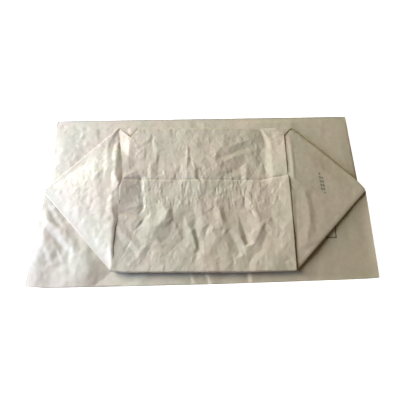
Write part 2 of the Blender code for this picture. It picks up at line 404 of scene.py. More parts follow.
# Folded tube: four panels, zigzag
tube = {
    "width": 600.0,
    "lines": {  # left and right ends of each line across the tube
        "tip": ((-298.0, 0.0), (301.5, 0.0)),
        "near": ((-302.6, -176.5), (296.0, -160.0)),
        "middle": ((-298.5, 15.0), (290.0, 25.0)),
        "far": ((-304.0, 154.5), (292.5, 167.0)),
        "inner": ((-298.5, -156.0), (293.0, -145.0)),
        "mouth": ((-298.0, 118.0), (290.0, 122.0)),
    },
    "nearBow": ((-302, -275, -245, -100, 0, 150, 240, 296), (0, 2.2, 2.8, 3.2, 3.4, 2.3, 1.3, 0.5)),
    "pitch": 2.9,  # from panel to panel
    "thickness": 1.6,  # of the flattened tube
    "edge": 22.0,  # how far in from a side crease the two plies have parted
    "edgeDroop": (0.15, 0.9),  # towards the near and the far fold
    "droopReach": 24,
    "bendReach": 170,  # the second panel's sides bend at its middle line over this
    "plyGive": 0.8,  # the lower ply follows only what sinks deeper than this
    "panelRoom": (0.6, 2.1),  # and the second panel makes room for the first from and up to this
    # shares of the second panel where that room and the panel's own folds begin and end
    "roomFade": ((0, 0.06), (0.5, 0.45)), "ownFade": ((0.5, 0.6), (1, 0.96)),
    "calm": {"share": 0.6, "front": (-60, 160), "far": (-100, 160)},  # the right side is smoother
    "softRight": (150, 0.5),  # beyond this x the front folds have this share of their height
    # the near left corner dips, the panels sink beside the left rim, and are held up beside the right ones
    "bodyDip": {"table": ((-300, -286, -262, -215, -190, -120), (0.4, 0.6, -0.8, -1.0, -1.0, 0)),
                "fade": (-15, -50)},
    "sunkRim": {"table": ((-150, -120, -90, -40, -10), (1.0, 1.3, 1.2, 1.1, 0.5)), "fade": (30, 0)},
    "heldUp": {"height": 1.7, "fall": 18, "side": (60, 110), "near": (-4, -26), "nearEnd": (-156, -146),
               "far": (5, 24)},
    "pleat": {
        "x": ((-174, -151), (-171, -158.5)), "start": (-196, -135), "heading": (0.89, -0.45),
        "reach": 44, "back": 70, "sink": 2.7, "crease": ((-157.5, -150), (-171.5, -174), -0.9, 1.3),
    },
    "pressed": {"table": ((-160, -120, -60, 0, 80, 130, 165), (2.0, 2.1, 1.9, 1.9, 2.2, 1.8, 0.3)),
                "fade": (0, 40), "line": -176, "slope": 24},
    # painted shadow in the pressed strip under the near crease, and a darker, browner near left corner:
    # share, y and x of each
    "shade": ((0.9, (-172, -154), (-150, -120)), (0.6, (-15, -50), (-235, -265))),
    # where the bottom covers the panels, it flattens what stands higher
    "covered": {"sides": (3, 12), "near": (-153, -146), "far": (138, 130), "above": 0.1},
    "corner": 3.5, "cornerReach": 40,  # the corners at the folds are rubbed round
    "sideCrease": 0.15,  # half the paper's thickness at a side crease
    "wall": 0.3, "wallGap": 0.02, "columns": 250,  # the space between the walls is at least 2 gaps
    # stations along the tube, more of them where the paper shows: kind, panel, shares, number
    "stations": (
        ("end", 0, 0, 0, 1), ("panel", 0, 0, 1, 62), ("fold", 0, 0, 1, 8), ("panel", 1, 0, 0.4, 5),
        ("panel", 1, 0.5, 1, 62), ("fold", 1, 0, 1, 8), ("panel", 2, 0, 1, 10), ("fold", 2, 0, 1, 5),
        ("panel", 3, 0, 1, 10), ("inside", 3, 1, 0.9, 2), ("end", 3, 0.88, 0.88, 1),  # the mouth's walls
    ),
    # swell: height, size, seed; nets: spacing, roughness, seed, lift, stretch
    "frontSwell": (0.7, 60, 11), "frontNets": ((16, 0.25, 12, 1.2), (7, 0.1, 13), (4.5, 0.1, 15)),
    "farSwell": (0.6, 60, 21), "farNets": ((17, 0.25, 22), (6, 0.17, 23)),
    # crumples: box, count, lengths, heights, width, heading in degrees, its spread, seed
    "frontCrumples": ((-290, -165, -205, -20), 75, (8, 24), (0.2, 0.5), 1.5, -60, 25, 14),
    "farCrumples": ((-290, 20, -190, 145), 90, (6, 18), (0.15, 0.5), 1.3, 70, 35, 24),
}

rims = {  # x of the pouch's left and right rims at each y, their heights there and how far in they reach
    "left": ((-150.5, -7, 1, 135), (-159.5, -298.5, -297, -175)),
    "right": ((-148.5, -1.5, 3, 23, 87.4, 135), (156, 299.5, 299, 285.5, 225, 176)),
    "leftHigh": ((-150, -20, 10, 55, 80, 135), (1.9, 1.7, 1.8, 2.3, 2.2, 1.6)),
    "leftReach": ((-150, -10, 40, 75, 135), (30, 30, 26, 16, 12)),
    "rightDrop": ((-150, -120, -10, 10, 100, 135), (0.8, 0.7, 0.4, 0.3, 0.6, 0.8)),
    "rightReach": 9,
}

# Folds placed one by one. Each is a row of points: x and y in millimetres, and the height, which is
# below 0 in a valley, in tenths of a millimetre.
frontFolds = (
    ((-289, -56, 8), (-268, -71, 13), (-249, -93, 11), (-236, -110, 4)),
    ((-290, -71, -5), (-271, -89, -10), (-250, -109, -10), (-238, -121, -4)),
    ((-287, -27, 6), (-273, -42, 9), (-261, -61, 6)), ((-291, -33, -4), (-277, -50, -6), (-266, -67, -4)),
    ((-259, -63, 6), (-248, -78, 8), (-238, -94, 4)),
    ((-240, -92, 5), (-226, -118, 9), (-218, -146, 8), (-214, -166, 4)),
    ((-211, -92, 6), (-207, -122, 12), (-201, -150, 12), (-199, -166, 5)),
    ((-281, -104, 5), (-268, -125, 7), (-262, -140, 3)), ((-284, -114, -4), (-273, -135, -5)),
    ((-262, -107, 4), (-250, -128, 5)), ((-257, -118, -3), (-247, -138, -3)), ((77, -154, 9), (79, -169, 8)),
    ((72, -154, -7), (74, -169, -6)), ((-22, -156, 4), (-15, -169, 5)), ((-29, -158, -4), (-23, -169, -4)),
    ((5, -156, 8), (12, -170, 8)), ((0, -156, -6), (5, -170, -7)), ((174, -152, 3), (172, -163, 3)),
)
farFolds = (
    ((-34, 156, 4), (-28, 142, 5)), ((-22, 157, -4), (-15, 142, -4)), ((-7, 157, 5), (-1, 142, 5)),
    ((80, 161, 4), (85, 144, 6)), ((94, 162, -4), (95, 144, -4)), ((-222, 132, 4), (-216, 111, 6)),
    ((-214, 135, -3), (-210, 116, -4)), ((-280, 86, 4), (-282, 59, 5)), ((-280, 127, 3), (-274, 99, 3)),
    ((-260, 95, 4), (-252, 72, 4)), ((-256, 46, 3), (-261, 25, 4)),
)

frontRelief = newRelief(-306, 306, -184, 4, 1.0)
farRelief = newRelief(-306, 306, -14, 170, 1.0)


# how far each spot lies from a place along a heading
def distanceAlong(r, place, heading):
    return (r.x - place[0]) * heading[0] + (r.y - place[1]) * heading[1]


# how far inside the pouch's left and right rims each spot lies
def insideRims(r):
    return r.x - valueAt(rims["left"], r.y), valueAt(rims["right"], r.y) - r.x


# how far the panels are held up beside the right rims
def heldUp(r):
    held = tube["heldUp"]
    beyond = np.clip(-insideRims(r)[1], 0, None)
    return held["height"] * np.exp(-beyond / held["fall"]) * smoothStep(*held["side"], r.x)


def shapeTube():
    r = frontRelief
    calm = 1 - tube["calm"]["share"] * smoothStep(*tube["calm"]["front"], r.x)
    placed, fine, finest = tube["frontNets"]
    softFrom, softShare = tube["softRight"]
    r.z += softNoise(r, *tube["frontSwell"]) * calm
    r.z += foldNet(r, frontFolds, *placed) * np.where(r.x > softFrom, softShare, 1)
    r.z += foldNet(r, (), *fine) * calm
    r.z += foldNet(r, (), *finest) * calm ** 2
    addCrumples(r, *tube["frontCrumples"])
    dip, rim, held = tube["bodyDip"], tube["sunkRim"], tube["heldUp"]
    r.z += valueAt(dip["table"], r.x) * smoothStep(*dip["fade"], r.y)
    r.z -= valueAt(rim["table"], r.y) * smoothStep(*rim["fade"], -insideRims(r)[0])
    r.z += heldUp(r) * smoothStep(*held["near"], r.y) * smoothStep(*held["nearEnd"], r.y)
    # the body sinks towards a short pleat at the left pocket's near corner
    pleat = tube["pleat"]
    along = distanceAlong(r, pleat["start"], pleat["heading"])
    fromPleat = r.x - valueAt(pleat["x"], r.y)
    before, behind = smoothStep(0, pleat["reach"], along), 1 - smoothStep(0, pleat["back"], fromPleat)
    r.z -= pleat["sink"] * np.where(fromPleat < 0, before, behind)
    addCrease(r, *pleat["crease"])
    # and beyond it the strip is pressed down along the near crease
    pressed = tube["pressed"]
    depth = valueAt(pressed["table"], r.x) * smoothStep(*pressed["fade"], fromPleat)
    r.z -= depth * np.clip((r.y - pressed["line"]) / pressed["slope"], 0, 1)
    # painted shadow along the near crease, and the darker near left corner
    shade = sum(share * smoothStep(*overY, r.y) * smoothStep(*overX, r.x)
                for share, overY, overX in tube["shade"])
    r = farRelief
    calm = 1 - tube["calm"]["share"] * smoothStep(*tube["calm"]["far"], r.x)
    placed, fine = tube["farNets"]
    r.z += softNoise(r, *tube["farSwell"]) * calm
    r.z += foldNet(r, farFolds, *placed) * calm
    r.z += foldNet(r, (), *fine) * calm
    addCrumples(r, *tube["farCrumples"])
    r.z += heldUp(r) * smoothStep(*held["far"], r.y)
    cover = tube["covered"]
    # that painted shadow and the darker corner go below 0 in the same attribute as the valleys' painted
    # shade
    for r, darkening in ((frontRelief, shade), (farRelief, 0)):
        covered = smoothStep(*cover["sides"], np.minimum(*insideRims(r)))
        covered *= smoothStep(*cover["near"], r.y)
        covered *= smoothStep(*cover["far"], r.y)
        r.z -= covered * np.clip(r.z - cover["above"], 0, None)
        r.z = soften(r.z, 2)
        r.wear = creaseWearAndShade(r.z) - darkening


shapeTube()

stations = []
for kind, panel, first, last, number in tube["stations"]:
    ends = 1 if kind == "fold" else 0  # a fold's own ends belong to the panels
    shares = np.linspace(first, last, number + 2 * ends)
    stations += [(kind, panel, share) for share in shares[ends:ends + number]]


# place on a line across the tube, t from 0 at its left end to 1
def lineAt(name, t):
    (lx, ly), (rx, ry) = tube["lines"][name]
    bow = valueAt(tube["nearBow"], lx + (rx - lx) * t) if name == "near" else 0
    return lx + (rx - lx) * t, ly + (ry - ly) * t - bow


# what the two plies of a panel take of its shape
def bothPlies(up, shape):
    return np.where(up > 0, shape, np.clip(shape + tube["plyGive"], None, 0))


def tubePlaces():
    columns = tube["columns"]
    mesh, u, v = gridMesh("foldedTube", 2 * columns, len(stations) - 1)
    station = np.rint(v * (len(stations) - 1)).astype(int)
    front = (u <= 0.5) | (u > 1 - 0.1 / columns)  # the last column meets the first at the left crease
    across = 1 - abs(1 - 2 * u)  # 0 at the left crease, 1 at the right one
    fromEdge = np.minimum(across, 1 - across) * tube["width"]
    part = np.sin(np.clip(fromEdge / tube["edge"], 0, 1) * math.pi / 2)
    half = tube["sideCrease"] + (tube["thickness"] / 2 - tube["sideCrease"]) * part
    x, y, z, wear = (np.zeros(len(u)) for _ in range(4))
    order = ["tip", "near", "far", "inner", "mouth"]
    pitch, thickness = tube["pitch"], tube["thickness"]
    reach = (pitch + thickness) / 2
    for index, (kind, panel, share) in enumerate(stations):
        pick = station == index
        t = across[pick]
        turned = 1 if panel % 2 == 0 else -1
        up = np.where(front[pick], 1, -1) * turned
        level = pitch * (3 - panel) + thickness / 2
        if kind == "fold":
            lx, ly = lineAt(order[panel + 1], t)
            radius = pitch / 2 + up * half[pick]
            angle = math.pi * share
            x[pick] = lx
            y[pick] = ly - turned * (radius * math.sin(angle) - reach)
            z[pick] = level - pitch / 2 + radius * math.cos(angle)
            if panel == 0:
                shape = readField(frontRelief, "z", lx, ly + reach) * part[pick] * (1 - share)
                z[pick] += bothPlies(up, shape)
            continue
        x0, y0 = lineAt(order[panel], t)
        x1, y1 = lineAt(order[panel + 1], t)
        y0 = y0 - turned * reach * (panel > 0)
        y1 = y1 + turned * reach * (panel < 3)
        x[pick] = x0 + (x1 - x0) * share
        y[pick] = y0 + (y1 - y0) * share
        apart = half[pick]
        if kind == "inside":
            apart = np.clip(apart - tube["wall"], tube["wallGap"], None)
        if kind == "end":
            apart = 0
        if panel == 1:
            middleX, middleY = lineAt("middle", t)
            bend = 1 - abs(y[pick] - middleY) / tube["bendReach"]
            x[pick] += (middleX - (x0 + x1) / 2) * np.clip(bend, 0, 1)
        z[pick] = level + up * apart
        if panel < 2 and kind == "panel":
            toFold = abs(lineAt(order[panel + 1], t)[1] - y[pick])
            relief = (frontRelief, farRelief)[panel]
            shape = readField(relief, "z", x[pick], y[pick]) * part[pick]
            if panel == 1:
                begin, end = tube["ownFade"]
                shape *= smoothStep(*begin, share) * smoothStep(*end, share)
                # the first panel lies above, and takes room
                above = readField(frontRelief, "z", x[pick], y[pick]) * part[pick]
                sink = np.clip(above + tube["panelRoom"][0], -tube["panelRoom"][1], 0)
                begin, end = tube["roomFade"]
                shape += sink * smoothStep(*begin, share) * smoothStep(*end, share)
            shape -= tube["edgeDroop"][panel] * smoothStep(tube["droopReach"], 0, toFold)
            z[pick] += bothPlies(up, shape)
            fade = np.where(up > 0, part[pick], 0)
            wear[pick] = readField(relief, "wear", x[pick], y[pick]) * fade
    # draw the sides in beside each fold line, for the round corners
    cornerRound = tube["corner"]
    for name in ("near", "far"):
        sign = -1 if name == "near" else 1
        toFold = sign * (lineAt(name, across)[1] - y)
        short = np.clip(cornerRound - toFold, 0, cornerRound)
        inset = cornerRound - np.sqrt(cornerRound ** 2 - short ** 2)
        share = np.clip(1 - fromEdge / tube["cornerReach"], 0, 1)
        x += inset * share * np.where(across < 0.5, 1, -1)
    return mesh, x, y, z, wear


tubeMesh = placeVertices(*tubePlaces())
editMesh(tubeMesh, closeUp)
addPiece("foldedTube", tubeMesh, kraftPaperBox)
print("folded tube", len(tubeMesh.polygons), "faces")

# Hexagonal pouch of the pasted bottom, with its two side pockets
pouch = {
    "corners": ((-298.5, -7.0), (-159.5, -150.5), (-130.0, -152.5), (70.0, -152.0), (156.0, -148.5),
                (299.5, -1.5), (299.0, 3.0), (285.5, 23.0), (225.0, 87.4), (176.0, 135.0), (-175.0, 135.0),
                (-297.0, 1.0)),
    "top": 13.7,
    "droop": 3.7,  # the far half lies one panel lower
    # from and to which y, in the middle and beside the rims, and how near to them
    "slope": {"middle": (10, 134), "beside": (-10, 52), "left": (70, 10), "right": (50, 10),
              "rightShare": 0.6},
    "base": 10.9,
    "baseDroop": 3.2,
    "step": (0.5, 40.0),  # the pouch steps down to that panel between these
    # pressed down under the flaps
    "underFlaps": ((-150, -120, 5, 18, 88, 112, 125), (1.2, 2.3, 2.4, 3.1, 3.1, 2.2, 1.2)),
    "fade": (-7, -1), "leftStart": (-1, 5),  # the pockets' shapes begin under the flaps' edges
    "rightEdgeSwell": {"height": 0.3, "crest": 12, "fall": 135, "nearEnd": (-150, -110)},
    "tips": {"sink": 1.0, "left": (-200, -290), "right": (165, 235)},
    "leftNets": ((15, 0.2, 32, 0.5), (6, 0.15, 33)),
    "rightNets": ((18, 0.15, 36, 0.5), (6, 0.06, 38)),
    "rightSwell": (0.3, 50, 31),
    "rightCalm": {"share": 0.7, "span": (30, 60)},
    # the line that the bottom was folded along before it was pasted
    "tipCreases": {"ends": (((158, 8.5), (296, 8.5)), ((-286, 8.5), (-180, 8.5))), "size": (0.22, 1.1)},
    "leftFall": 1.05,  # how the left pocket falls to its rim: 1 is straight, and more is hollow
    "thinnest": 0.2, "wear": 0.7, "cell": 1.6,
    "cornerBlend": 1.5,  # mm over which the roll turns at a corner
    "roll": 1.2, "rollAngles": (30, 60, 90, 120, 150, 180),  # radius of the folded edges, and degrees
    "rollThinnest": 0.1,
    "rollDown": 0.12, "rollOut": 0.3,  # shares of it: the top sinks at the rim, the side stands out
    "leftCrumples": (
        ((-255, -70, -195, 20), 45, (8, 22), (0.15, 0.4), 1.7, 60, 18, 34),
        ((-250, 10, -190, 60), 30, (8, 20), (0.15, 0.35), 1.7, 95, 18, 35),
        ((-240, 20, -175, 115), 60, (6, 14), (0.15, 0.4), 1.5, 60, 60, 37),
    ),
    # beside the notch in the far crease the paper turns down
    "notchFlank": {"place": (-146.5, 113.2), "facing": (0.81, -0.58), "sink": 1.8, "start": (-6, 0),
                   "x": (-124, -129), "y": (107, 113), "crease": ((-168, 134.5), (-146, 115.5), 0.9, 1.1)},
}

# The two pasted flaps: the far one below, the near one over its free edge
flaps = {
    "cell": 1.25,
    "grid": (320, 172),  # across and along; it is then fitted between the flap's edges in rounds
    "startWidth": 350, "fitRounds": 12,
    "roll": 2.0,
    "creaseRows": 8,  # rows of the grid that roll round the crease
    "thickness": 0.45,
    "lay": 0.8,  # the near flap lies this much higher
    "overlap": 34.0,
    "rise": 1.6,  # above the pouch's top
    "freeEdge": ((-160, -118, 108, 132, 157), (18, 19.5, 19.5, 24, 28)),
    "nearCrease": ((-160, -148, -133, -60, 20, 70, 103, 137, 157),
                   (-151, -152.4, -153.3, -152.6, -152.1, -151.8, -150.6, -150.0, -149.2)),
    "farCrease": ((-175, -170, -146.5, -132, 176), (135.6, 133.4, 113.2, 133.5, 135.6)),
    "margin": ((22, 43, 65, 91, 113), (1, 4, 12.5, 18, 24)),  # bends down to the left pocket
    "marginDrop": 3.7, "marginStart": (60, 95),
    "lap": ((1.3, 3.2), (1.0, 1.8)),  # far and near free edge: how deep and how far they turn down
    "tuck": 0.2,
    "swell": (0.5, 45, 41),
    "nets": ((14, 0.2, 42, 0.9, 1.2), (8, 0.11, 43, 1.0, 1.3), (4, 0.06, 44, 1.0, 1.3)),
    "broadNet": (60, 0.0, 45),
    "sideFade": (-1, 9),  # the small folds end at the side edges
    "crumples": (
        ((-118, -34, 108, 20), 200, (9, 30), (0.15, 0.5), 0.9, 92, 9, 51),
        ((-112, 16, 100, 44), 45, (6, 20), (0.2, 0.45), 1.2, 90, 25, 53),
        ((80, -40, 140, 60), 24, (8, 26), (0.2, 0.5), 1.5, 80, 25, 54),
        ((-150, -150, 150, 130), 420, (6, 22), (0.15, 0.45), 1.0, 80, 40, 52),
    ),
    # the near flap stands higher towards its crease
    "nearLift": {"table": ((-158, -140, -100, -50, 20, 60, 80, 157), (0, 0.1, 0.4, 0.8, 1.3, 1.3, 0.8, 0.2)),
                 "start": (-110, -150)},
}

flapSides = {  # x of the flaps' free side edges at each y
    "left": ((-150, -137, -115, -98, -76, -66, -50, -36, -13, 5, 11, 22, 39, 65, 91, 134),
             (-160, -156.4, -158.5, -159.5, -159.5, -157, -154.5, -155, -157, -157.5, -155, -153.5,
              -155.5, -159.8, -166, -174)),
    "right": ((-150, -138, -96, -74, -30, 2, 20, 32, 60, 100, 118, 135),
              (154.6, 155.2, 156.2, 156.7, 157.5, 157.8, 157.2, 156.2, 157.4, 158.2, 158.8, 175)),
    "ridgeGap": ((-150, -132, -97, -70, -53, -34, -16, 2, 8, 14, 30, 49, 60, 75, 97, 130),
                 (2.5, 2, 2, 3.5, 9, 14, 13, 12, 4, 10, 14, 14, 12, 8, 4, 4)),
    "ridgeHigh": ((-150, -130, -100, -75, -34, 2, 14, 30, 60, 75, 91, 110, 130),
                  (3.2, 4.4, 5.2, 5.7, 6.0, 5.5, 5.1, 4.5, 3.0, 1.8, -0.4, -1.3, -1.7)),
    "leftEdge": ((-150, -130, -100, -75, -53, -41, -28, 0, 8, 20, 35, 50, 60, 75, 91, 110, 135),
                 (2.6, 3.8, 4.8, 5.2, 3.7, 3.7, 5.3, 5.2, 4.8, 2.6, 1.7, 1.1, 0.6, -0.2, -2.0, -2.2, -2.3)),
    "rightEdge": ((-150, -120, -80, -40, 20, 80, 130), (0.2, 0.7, 1.6, 2.5, 3.1, 3.0, 1.8)),
}

# Folds of the two pockets, in the same form
leftFolds = (
    ((-184, 122, 8), (-190, 100, 14), (-190, 82, 12), (-188, 60, 7), (-185, 39, 6)),
    ((-178, 122, -6), (-180, 100, -11), (-181, 82, -10), (-178, 60, -6), (-177, 43, -2)),
    ((-174, 96, 10), (-173, 75, 12), (-170, 50, 10), (-170, 34, 6)),
    ((-197, 96, 6), (-213, 66, 14), (-212, 43, 15), (-205, 14, 12), (-197, -14, 12)),
    ((-197, 71, -3), (-194, 43, -5), (-191, 18, -6)), ((-193, -18, 7), (-188, -42, 8), (-186, -64, 3)),
    ((-181, 2, -6), (-178, -22, -8), (-179, -46, -4)), ((-176, 34, -8), (-175, 16, -12), (-172, 0, -10)),
    ((-158, 8, 22), (-164, 18, 26), (-171, 28, 14)),
    ((-170, -6, 6), (-171, -16, 8), (-171, -34, 8), (-171, -53, 8), (-166, -75, 8), (-163, -106, 9),
     (-159, -132, 6)),
)
rightFolds = (
    ((168, 122, 4), (169, 96, 7), (169, 61, 9), (167, 22, 8)),
    ((161, 110, -4), (163, 80, -6), (162, 45, -5), (161, 18, -2)),
    ((175, 96, -1), (174, 61, -5), (172, 24, -3)), ((186, 90, -3), (182, 20, -4)),
    ((162, -4, 8), (160, -40, 8), (159, -70, 6)),
    ((169, -4, -8), (166, -40, -10), (163, -80, -9), (160, -112, -4)),
    ((176, -10, -4), (175, -40, -6), (173, -74, -5)),
    ((185, -6, 8), (189, -36, 12), (189, -60, 12), (176, -104, 9)),
    ((195, -14, -5), (199, -46, -7), (196, -80, -4)), ((178, -112, -6), (170, -126, -4)),
)

pouchRelief = newRelief(-306, 310, -156, 142, 0.9)
pouchSides = list(zip(pouch["corners"], pouch["corners"][1:] + pouch["corners"][:1]))


# height of the pouch's underside, which steps down to the far panel
def underside(y):
    start, end = pouch["step"]
    return pouch["base"] - pouch["baseDroop"] * np.clip((y - start) / (end - start), 0, 1)


def shapePouch():
    r = pouchRelief
    x, y = r.x, r.y
    for crumples in pouch["leftCrumples"]:
        addCrumples(r, *crumples)
    crumpled, r.z = r.z, np.zeros(x.shape)
    toLeft = valueAt(flapSides["left"], y) - x  # distance left of the left flap edge
    toRight = x - valueAt(flapSides["right"], y)
    left, right = smoothStep(*pouch["fade"], toLeft), smoothStep(*pouch["fade"], toRight)
    # left pocket: rises from its rim to a ridge beside the flap, then dips to the flap's edge
    gap, high = valueAt(flapSides["ridgeGap"], y), valueAt(flapSides["ridgeHigh"], y)
    fromRim, toRim = insideRims(r)
    fromRim, toRim = np.clip(fromRim, 0.1, None), np.clip(toRim, 0, None)
    past = np.clip(toLeft - gap, 0, None)
    edge = valueAt(flapSides["leftEdge"], y)
    dip = edge + (high - edge) * np.clip(toLeft / gap, 0, 1)
    r.z += left * np.where(past > 0, high * (fromRim / (fromRim + past)) ** pouch["leftFall"], dip)
    placed, fine = pouch["leftNets"]
    net = foldNet(r, leftFolds, *placed) + foldNet(r, (), *fine)
    r.z += left * (net + crumpled) * smoothStep(*pouch["leftStart"], toLeft)
    # right pocket: a low swell beside the flap
    swell = pouch["rightEdgeSwell"]
    raised = swell["height"] * smoothStep(0, swell["crest"], toRight) * smoothStep(*swell["nearEnd"], y)
    raised += valueAt(flapSides["rightEdge"], y)
    r.z += right * raised * np.clip(1 - np.clip(toRight - swell["crest"], 0, None) / swell["fall"], 0, 1)
    tips = pouch["tips"]
    r.z -= right * tips["sink"] * smoothStep(*tips["right"], x)
    r.z -= left * tips["sink"] * smoothStep(*tips["left"], x)
    flank = pouch["notchFlank"]
    turned = smoothStep(*flank["start"], distanceAlong(r, flank["place"], flank["facing"]))
    r.z -= flank["sink"] * turned * smoothStep(*flank["x"], x) * smoothStep(*flank["y"], y)
    addCrease(r, *flank["crease"])
    margin = np.clip(1 + toLeft / valueAt(flaps["margin"], y), 0, 1) * (1 - left)
    r.z -= flaps["marginDrop"] * smoothStep(*flaps["marginStart"], y) * margin
    calm = 1 - pouch["rightCalm"]["share"] * smoothStep(*pouch["rightCalm"]["span"], toRight)
    placed, fine = pouch["rightNets"]
    net = soften(foldNet(r, rightFolds, *placed), 2)
    r.z += right * (net * calm + softNoise(r, *pouch["rightSwell"]))
    r.z += right * foldNet(r, (), *fine)
    for ends in pouch["tipCreases"]["ends"]:
        addCrease(r, *ends, *pouch["tipCreases"]["size"])
    slope = pouch["slope"]
    nearRight = slope["rightShare"] * smoothStep(*slope["right"], toRim)
    beside = np.maximum(smoothStep(*slope["left"], fromRim), nearRight)
    down = smoothStep(*slope["middle"], y) * (1 - beside) + smoothStep(*slope["beside"], y) * beside
    r.z += pouch["top"] - pouch["droop"] * down
    r.z -= valueAt(pouch["underFlaps"], y) * (1 - left) * (1 - right)
    # the rims come down to the underside
    t = np.clip(fromRim / valueAt(rims["leftReach"], y), 0, 1)
    level = underside(y) + valueAt(rims["leftHigh"], y)
    r.z = level + (r.z - level) * t * (2 - t)
    t = np.clip(toRim / rims["rightReach"], 0, 1)
    r.z -= valueAt(rims["rightDrop"], y) * (1 - t) ** 2
    r.z = soften(np.maximum(r.z, underside(y) + pouch["thinnest"]), 1)
    r.wear = creaseWearAndShade(r.z) * np.clip(left + right, 0, 1) * pouch["wear"]


shapePouch()


# cuts all faces along a plane, and with clearOuter takes away what lies beyond it
def cutAlong(bm, place, direction, clearOuter=False):
    everything = bm.verts[:] + bm.edges[:] + bm.faces[:]
    bmesh.ops.bisect_plane(bm, geom=everything, dist=0.05, plane_co=place, plane_no=direction,
                           clear_outer=clearOuter)


def pouchMesh():
    xs, ys = zip(*pouch["corners"])
    spanX, spanY = max(xs) - min(xs) + 4, max(ys) - min(ys) + 4
    bm = newGrid(int(spanX / pouch["cell"]), int(spanY / pouch["cell"]), 0.5)
    bmesh.ops.scale(bm, vec=(spanX, spanY, 1), verts=bm.verts[:])
    bmesh.ops.translate(bm, vec=((max(xs) + min(xs)) / 2, (max(ys) + min(ys)) / 2, 0), verts=bm.verts[:])
    for a, b in pouchSides:
        along = (Vector(b) - Vector(a)).normalized()
        cutAlong(bm, a + (0,), (along.y, -along.x, 0), True)
    for y in pouch["step"]:
        cutAlong(bm, (0, y, 0), (0, 1, 0))
    # roll the rim down and under, then close the underside in three flat faces
    rim = [e for e in bm.edges if e.is_boundary]
    rings = []
    for angle in pouch["rollAngles"]:
        made = bmesh.ops.extrude_edge_only(bm, edges=rim)["geom"]
        rim = [e for e in made if isinstance(e, bmesh.types.BMEdge) and e.is_boundary]
        rings.append((angle, [v for v in made if isinstance(v, bmesh.types.BMVert)]))
    bmesh.ops.holes_fill(bm, edges=rim)
    for y in pouch["step"]:
        ends = [v for v in rings[-1][1] if abs(v.co.y - y) < 0.06]
        ends = [min(ends, key=lambda v: v.co.x), max(ends, key=lambda v: v.co.x)]
        bmesh.ops.connect_verts(bm, verts=ends)
    bm.verts.index_update()
    angles = np.zeros(len(bm.verts))
    for angle, verts in rings:
        angles[[v.index for v in verts]] = math.radians(angle)
    mesh, places = takeMesh(bm, "bottomPouch")
    return mesh, places[:, 0], places[:, 1], angles


# how far inside the pouch's sides each place lies, and the direction inward
def edgeDistance(x, y):
    best = np.full(len(x), 1e9)
    nx, ny = np.zeros(len(x)), np.zeros(len(x))
    for (ax, ay), (bx, by) in pouchSides:
        length = math.hypot(bx - ax, by - ay)
        inX, inY = -(by - ay) / length, (bx - ax) / length
        d = (x - ax) * inX + (y - ay) * inY
        best = np.minimum(best, d)
        weight = np.exp(-np.clip(d, 0, 50) / pouch["cornerBlend"])
        nx += inX * weight
        ny += inY * weight
    size = np.hypot(nx, ny) + 1e-9
    return best, nx / size, ny / size


mesh, px, py, angles = pouchMesh()
inward, inX, inY = edgeDistance(px, py)
pz = readField(pouchRelief, "z", px, py)
pouchWearAndShade = readField(pouchRelief, "wear", px, py)
rimRoll = pouch["roll"]
depth = np.clip(inward, 0, rimRoll)
pz -= pouch["rollDown"] * (rimRoll - np.sqrt(rimRoll ** 2 - (rimRoll - depth) ** 2))
baseLevel = underside(py)
high = np.maximum(pz - baseLevel, np.where(angles > 0, pouch["rollThinnest"], 0))
pz = baseLevel + high * (1 + np.cos(angles)) / 2
out = rimRoll * pouch["rollOut"] * np.sin(angles)
px, py = px - inX * out, py - inY * out
placeVertices(mesh, px, py, pz, pouchWearAndShade)
editMesh(mesh, closeUp)
addPiece("bottomPouch", mesh, kraftPaperBars)
print("bottom pouch", len(mesh.polygons), "faces")

# Folds of the flaps, in the same form: broad ones, and small ones of the far and the near flap
broadFolds = (
    ((-174, 134, 0), (-168, 91, 4), (-156, 50, 5), (-154, 31, 7), (-153, 22, 27), (-156, 0, 35),
     (-155, -34, 25), (-154, -50, 14), (-159, -75, 18), (-159, -100, 16), (-158, -150, 10)),
    ((-140, 62, -4), (-129, 40, -11), (-123, 29, -15), (-120, 21, -28), (-118, -2, -31), (-119, -20, -22),
     (-116, -36, -18), (-106, -52, -13), (-112, -66, -7), (-122, -85, -2), (-126, -120, 0)),
    ((-113, 26, -12), (-112, 10, -14), (-112, -6, -20)),
    ((-66, 20, -16), (-66, 0, -18), (-66, -20, -14), (-68, -38, -5), (-70, -55, 5), (-84, -75, 9),
     (-95, -95, 6)),
    ((-22, 10, -17), (-20, -36, -21), (-16, -70, -28), (-13, -104, -29), (-16, -140, -12)),
    ((-3, -96, -20), (-1, -116, -9), (-2, -140, -2)),
    ((46, 10, -26), (46, -30, -26), (46, -60, -22), (48, -84, -21), (48, -106, -25), (46, -140, -16)),
    ((2, 104, 0), (-2, 60, 0), (-4, 24, -4)), ((48, 100, -4), (44, 60, -9), (42, 24, -20)),
    ((90, 122, -8), (80, 85, -23), (72, 50, -29), (68, 22, -32), (68, 0, -29)),
    ((88, 60, -24), (86, 22, -20), (88, 0, -21)),
    ((116, 124, -18), (120, 100, -26), (120, 80, -28), (118, 40, -23), (118, 0, -22), (120, -40, -20),
     (122, -90, -16), (120, -140, -4)),
    ((175, 135, 8), (160, 119, 17), (157, 100, 18), (157, 60, 23), (157, 20, 26), (157, -20, 18),
     (156, -60, 9), (155, -100, 6), (154, -150, -2)),
)
